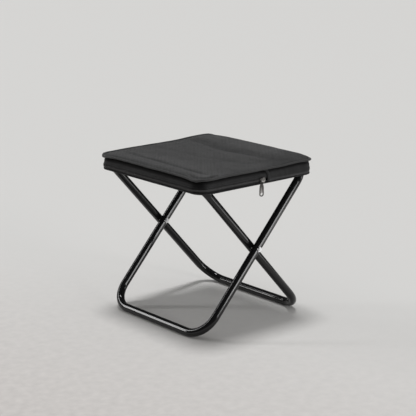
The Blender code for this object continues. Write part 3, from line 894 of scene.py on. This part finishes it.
def make_sleeve(node, side, body):
    """Cloth sleeve round a top rail."""
    half = RAIL_STRAIGHT - FRAME_OFFSET - 0.005
    radius = TUBE_RADIUS + 0.0008

    def put(u, v):
        angle = 2 * math.pi * (u % 1.0)
        y = (2 * v - 1) * half
        r = radius + 0.00008 * waver(math.cos(angle) * 0.01, y, side, 0.012)
        return Vector((side * RAIL_X + r * math.cos(angle), y, RAIL_Z + r * math.sin(angle)))

    def away(point):
        return Vector((point.x - side * RAIL_X, 0, point.z - RAIL_Z))

    girth = 2 * math.pi * radius
    sleeve = cloth_sheet(node.replace("rail_sleeve", "sleeve"), 32, 40, put, (girth, 2 * half), away)
    thicken(sleeve, SLEEVE_WALL)
    fitted(sleeve, 50, SIDE_CLOTH, node, body)


make_sleeve("left_rail_sleeve", -1, "right_foot_body")
make_sleeve("right_rail_sleeve", 1, "left_foot_body")


# ---------------------------------------------------------------- zip and sewing

def repeat(name, pattern, places):
    """Copies of one small piece at many places, as one mesh."""
    corners = [vertex.co.copy() for vertex in pattern.data.vertices]
    faces = [tuple(face.vertices) for face in pattern.data.polygons]
    points, all_faces = [], []
    for place in places:
        base = len(points)
        points += [place @ corner for corner in corners]
        all_faces += [tuple(base + i for i in face) for face in faces]
    mesh = bpy.data.meshes.new(name)
    mesh.from_pydata(points, [], all_faces)
    bpy.data.objects.remove(pattern)
    return placed(name, mesh)


def small_bar(name, radius, length, sides=8):
    """Short round bar along X with rounded ends."""
    clear()
    bpy.ops.mesh.primitive_cylinder_add(vertices=sides, radius=radius, depth=length,
                                        rotation=(0, math.pi / 2, 0))
    bar = added(name)
    settle(bar)
    select(bar, "EDGE", lambda p: p[0].x * p[1].x > 0 and all(abs(abs(c.x) - length / 2) < 1e-5 for c in p))
    bpy.ops.mesh.bevel(offset=radius * 0.55, segments=2, affect="EDGES")
    close_edit()
    return bar


def axes(ahead, out, at):
    """Turn and place: local X lies ahead, local Z points out."""
    x = ahead.normalized()
    z = (out - x * out.dot(x)).normalized()
    y = z.cross(x)
    turn = Matrix((x, y, z)).transposed().to_4x4()
    return Matrix.Translation(at) @ turn


def make_zip_teeth():
    """Coil teeth of both tapes, meshing in the middle of the chain."""
    at, length = outline(-1, CHAIN_END)
    pitch = 0.00115
    count = int(length / pitch)
    tooth = small_bar("coil_tooth", 0.00042, 0.0029)
    places = []
    for i in range(count):
        for row, shift in ((1, 0.25), (-1, 0.75)):
            spot, way = at((i + shift) / count)
            spot = spot + way * (band_out(spot, CHAIN_Z) + 0.0001)
            spot.z = CHAIN_Z + row * 0.00085
            lean = Vector((0, 0, 1)) + way.cross(Vector((0, 0, 1))) * 0.12 * row
            places.append(axes(lean, way, spot))
    return sewn(repeat("zip_teeth", tooth, places), None, 60, COIL, "zip_chain")


def make_chain_core():
    """Cord inside the coil, which closes the chain behind the teeth."""
    at, length = outline(-1, CHAIN_END)

    def put(u, v):
        spot, way = at(u)
        z = CHAIN_LOW + 0.0001 + (CHAIN_HIGH - CHAIN_LOW - 0.0002) * v
        spot = spot + way * (band_out(spot, z) - 0.0003)
        spot.z = z
        return spot

    core = cloth_sheet("zip_chain_core", 200, 2, put, (length, 0.005), outward)
    return sewn(core, TAPE_WALL, 60, TAPE_CLOTH)


zip_teeth = make_zip_teeth()
chain_core = make_chain_core()


def stitch_row(name, at, length, pitch, size, lift):
    """Row of stitches along a line; at(share) gives a point of the cloth and the way out of it."""
    count = int(length / pitch)
    places = []
    for i in range(count):
        spot, out = at((i + 0.5) / count)
        ahead, _ = at(min(1.0, (i + 0.62) / count))
        places.append(axes(ahead - spot, out, spot + out * lift))
    row = repeat(name, small_bar("stitch", size, pitch * 0.74, 6), places)
    return sewn(row, None, 60, THREAD)


def seam_on_top(inset):
    """Line of a seam on the top panel, at a distance from its edge."""
    at, length = whole_outline()

    def seam(share):
        spot, way = at(share % 1.0)
        spot = spot - way * inset
        spot.z = lip_height(spot.x, spot.y) - edge_tuck(inset)
        return spot, Vector((0, 0, 1))

    return seam, length


top_seam, top_length = seam_on_top(0.0042)
top_stitches = stitch_row("top_edge_stitches", top_seam, top_length, 0.0032, 0.00022, 0.00006)


def seam_on_strip(side, end_x, section, t):
    """Line of a seam along a strip, at a share t of its height."""
    at, length = outline(side, end_x)

    def seam(share):
        spot, way = at(share)
        out, z = section(spot, t)
        spot = spot + way * out
        spot.z = z
        return spot, way

    return seam, length


low_seam, low_length = seam_on_strip(1, FLAP_LOW + 0.0075, gusset_section, 0.17)
gusset_stitches = stitch_row("gusset_stitches", low_seam, low_length, 0.003, 0.0002, 0.00005)
tape_seam, tape_length = seam_on_strip(-1, CHAIN_END, upper_tape_section, 0.14)
tape_stitches = stitch_row("zip_tape_stitches", tape_seam, tape_length, 0.0026, 0.00018, 0.00005)


def make_end_tab(node, name, side):
    """Hem along the gusset's curved end, turned in at its edges."""
    end = Vector((SEAM_X, side * PANEL_Y, 0))
    under, step = 0.0004, 0.0002  # end of the hem below the lip; step to take a slope
    low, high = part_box(node)[0].z, band_top(end) - under

    def put(u, v):
        z = low + (high - low) * v
        edge = flap_edge(end, z)
        slope = (flap_edge(end, z + step) - edge) / step
        wide = min(0.009, 0.0056 * math.hypot(1, slope))
        spot = Vector((edge - 0.0003 + wide * u, side * PANEL_Y, z))
        roll = 0.0009 * abs(2 * u - 1) ** 4
        out, _ = gusset_section(spot, (z - BAND_LOW) / (high + under - BAND_LOW))
        spot.y += side * (out + 0.0010 - roll)
        return spot

    tab = cloth_sheet(name, 12, 40, put, (0.006, high - low), lambda p: Vector((0, side, 0)))
    return sewn(tab, TAPE_WALL, 60, SIDE_CLOTH, node)


front_tab = make_end_tab("front_end_tab", "front_zip_tab", -1)
rear_tab = make_end_tab("rear_end_tab", "rear_zip_tab", 1)


def eased_copy(node, name, edge, mat, body):
    """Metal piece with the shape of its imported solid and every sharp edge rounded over."""
    piece = placed(name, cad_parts[node].data.copy())
    open_all(piece)
    bpy.ops.mesh.remove_doubles(threshold=0.000005)
    bpy.ops.mesh.dissolve_limited(angle_limit=math.radians(3))
    close_edit()
    ease_over = piece.modifiers.new("eased", "BEVEL")
    ease_over.width = edge
    ease_over.segments = 3
    ease_over.limit_method = "ANGLE"
    ease_over.angle_limit = math.radians(38)
    finish_modifiers(piece)
    fitted(piece, 40, mat, node, body)
    return piece


def shape_grip(pull):
    """Gives the pull a grip with nearly straight sides, a round hole and a shorter end."""
    low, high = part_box("zip_pull_tab")
    middle = (low.x + high.x) / 2
    hole_at = low.z + 0.0058  # height where the hole is at its widest
    eye_low = high.z - 0.0062  # lower edge of the eye round the bail
    grip_at = eye_low - 0.008  # from here down the sides are drawn in and the end is drawn up
    for vertex in pull.data.vertices:
        side, height = vertex.co.x - middle, vertex.co.z
        widen = 0.36 * ease((eye_low - height) / 0.004) - 0.30 * ease((grip_at - height) / 0.010)
        above = height - hole_at
        if -0.004 < above < 0.0062 and abs(side) < 0.0030:
            widen += 0.22
            vertex.co.z -= 0.38 * max(0.0, above)
        vertex.co.x += side * widen
        vertex.co.z += 0.0016 * ease((grip_at - height) / 0.012)


eased_copy("zip_slider", "slider_body", 0.00025, NICKEL, "zip_slider_body")
shape_grip(eased_copy("zip_pull_tab", "pull_tab", 0.0003, DARK_NICKEL, "zip_pull_body"))
eased_copy("zip_front_stop", "front_stop", 0.0005, NICKEL, "zip_end_body")
eased_copy("zip_rear_stop", "rear_stop", 0.0005, NICKEL, "zip_end_body")

# Lengths of the outline's two halves, from the zip's seam and from the tapes' end, worked out and not used
outline(1, SEAM_X)[1]
outline(-1, TAPE_END)[1]


# ---------------------------------------------------------------- stage, light and camera

def make_floor():
    """Pale floor, mottled and painted a little darker in front of the stool: painted shade where the light
    falls off.
    """
    clear()
    bpy.ops.mesh.primitive_plane_add(size=40, location=(0, 0, 0))
    floor = added("studio_floor")
    mat, tree, shader = new_finish("pale_floor")
    coords = add(tree, "TexCoord").outputs["Object"]
    mottle = uneven(tree, shader, coords, 3, 60, 0.55, 0.7)
    tone = two_tone(tree, shader, mottle.outputs["Grain"], (0.455, 0.430, 0.416), (0.678, 0.640, 0.620))
    # painted shade: the floor's colour goes darker towards the front, where the light falls off
    turned = add(tree, "VectorRotate", {"Angle": math.radians(-18)}, rotation_type="Z_AXIS")
    depth = join(tree, join(tree, coords.node, turned, "Object"), add(tree, "SeparateXYZ"), "Vector")
    far = add(tree, "MapRange", {"From Min": -1.05, "From Max": 0.34}, interpolation_type="SMOOTHSTEP")
    tree.links.new(depth.outputs["X"], far.inputs["Value"])
    painted_falloff = add(tree, "Mix", data_type="RGBA")
    painted_falloff.inputs["B"].default_value = (0.684, 0.679, 0.668, 1)
    tree.links.new(far.outputs["Result"], painted_falloff.inputs["Factor"])
    tree.links.new(tone.outputs["Result"], painted_falloff.inputs["A"])
    tree.links.new(painted_falloff.outputs["Result"], shader.inputs["Base Color"])
    shader.inputs["Specular IOR Level"].default_value = 0.0
    floor.data.materials.append(mat)


STOOL_MIDDLE = Vector((0, 0, 0.2))
FAR_OFF = 60


def soft_light(name, way, wide, tall, glow, lean=0.0, away=FAR_OFF):
    """Soft box in one direction, its sides in parts of its distance; glow is how bright its face looks."""
    lamp = bpy.data.lights.new(name, "AREA")
    lamp.shape = "RECTANGLE"
    lamp.size, lamp.size_y = wide * away, tall * away
    lamp.energy = glow * math.pi * lamp.size * lamp.size_y
    obj = placed(name, lamp)
    way = Vector(way).normalized()
    obj.location = way * away + STOOL_MIDDLE
    obj.rotation_mode = "QUATERNION"
    obj.rotation_quaternion = (-way).to_track_quat("-Z", "Y") @ Quaternion((0, 0, 1), math.radians(lean))
    obj.visible_camera = False
    return obj


def photo_camera():
    """Camera at the photograph's angle, for a square picture."""
    turn, lift, roll = math.radians(-40.38191), math.radians(14.4206), math.radians(-0.0675)
    back = Vector((math.sin(turn) * math.cos(lift), -math.cos(turn) * math.cos(lift), math.sin(lift)))
    right = Vector((math.cos(turn), math.sin(turn), 0))
    up = back.cross(right)
    right, up = right * math.cos(roll) + up * math.sin(roll), up * math.cos(roll) - right * math.sin(roll)
    picture, film, focus = 416, 36, 1361.7663  # width in pixels and on the film, lens in pixels
    lens = bpy.data.cameras.new("photo_camera")
    lens.sensor_width = film
    lens.lens = focus * film / picture
    lens.clip_end = 60
    camera = placed("photo_camera", lens)
    aside, height, distance = 0.00404, 0.20341, 2.63338
    eye = right * aside + Vector((0, 0, height)) + back * distance
    camera.matrix_world = Matrix.Translation(eye) @ Matrix((right, up, back)).transposed().to_4x4()
    bpy.context.scene.camera = camera


def studio_world():
    """Even pale fill for the cloth, with a dim room round it in reflections."""
    world = bpy.data.worlds.new("studio")
    bpy.context.scene.world = world
    world.use_nodes = True
    tree = world.node_tree
    pale = (0.80, 0.80, 0.79, 1)
    fill = tree.nodes["Background"]
    fill.inputs["Color"].default_value = pale
    fill.inputs["Strength"].default_value = 0.385
    room = add(tree, "Background", {"Color": pale, "Strength": 0.07})
    path = add(tree, "LightPath")
    either = add(tree, "MixShader")
    tree.links.new(path.outputs["Is Glossy Ray"], either.inputs[0])
    tree.links.new(fill.outputs[0], either.inputs[1])
    tree.links.new(room.outputs[0], either.inputs[2])
    tree.links.new(either.outputs[0], tree.nodes["World Output"].inputs["Surface"])


def high_sun(way, strength, angle):
    """Broad even light from above, which leaves a soft shadow under the stool."""
    lamp = bpy.data.lights.new("ceiling_light", "SUN")
    lamp.energy = strength
    lamp.angle = math.radians(angle)
    obj = placed("ceiling_light", lamp)
    obj.rotation_mode = "QUATERNION"
    obj.rotation_quaternion = Vector(way).to_track_quat("-Z", "Y")


make_floor()
studio_world()
high_sun((-0.065, -0.11, -1), 1.68, 15)
soft_light("back_strip", (-0.494, 0.760, 0.423), 0.628, 0.111, 9.5, -53)
soft_light("front_strip", (0.19, -0.96, 0.135), 0.667, 0.178, 9.5, -42)
soft_light("corner_box", (0.70, -0.70, 0.13), 0.178, 0.178, 5.0)
# Card close to the floor that shows only in gloss, for the highlight on the right-foot legs
low_card = soft_light("low_card", (0.47, -0.856, -0.216), 0.60, 0.149, 3.1, away=0.671)
low_card.visible_diffuse = False
photo_camera()
bpy.context.scene.view_settings.view_transform = "Standard"
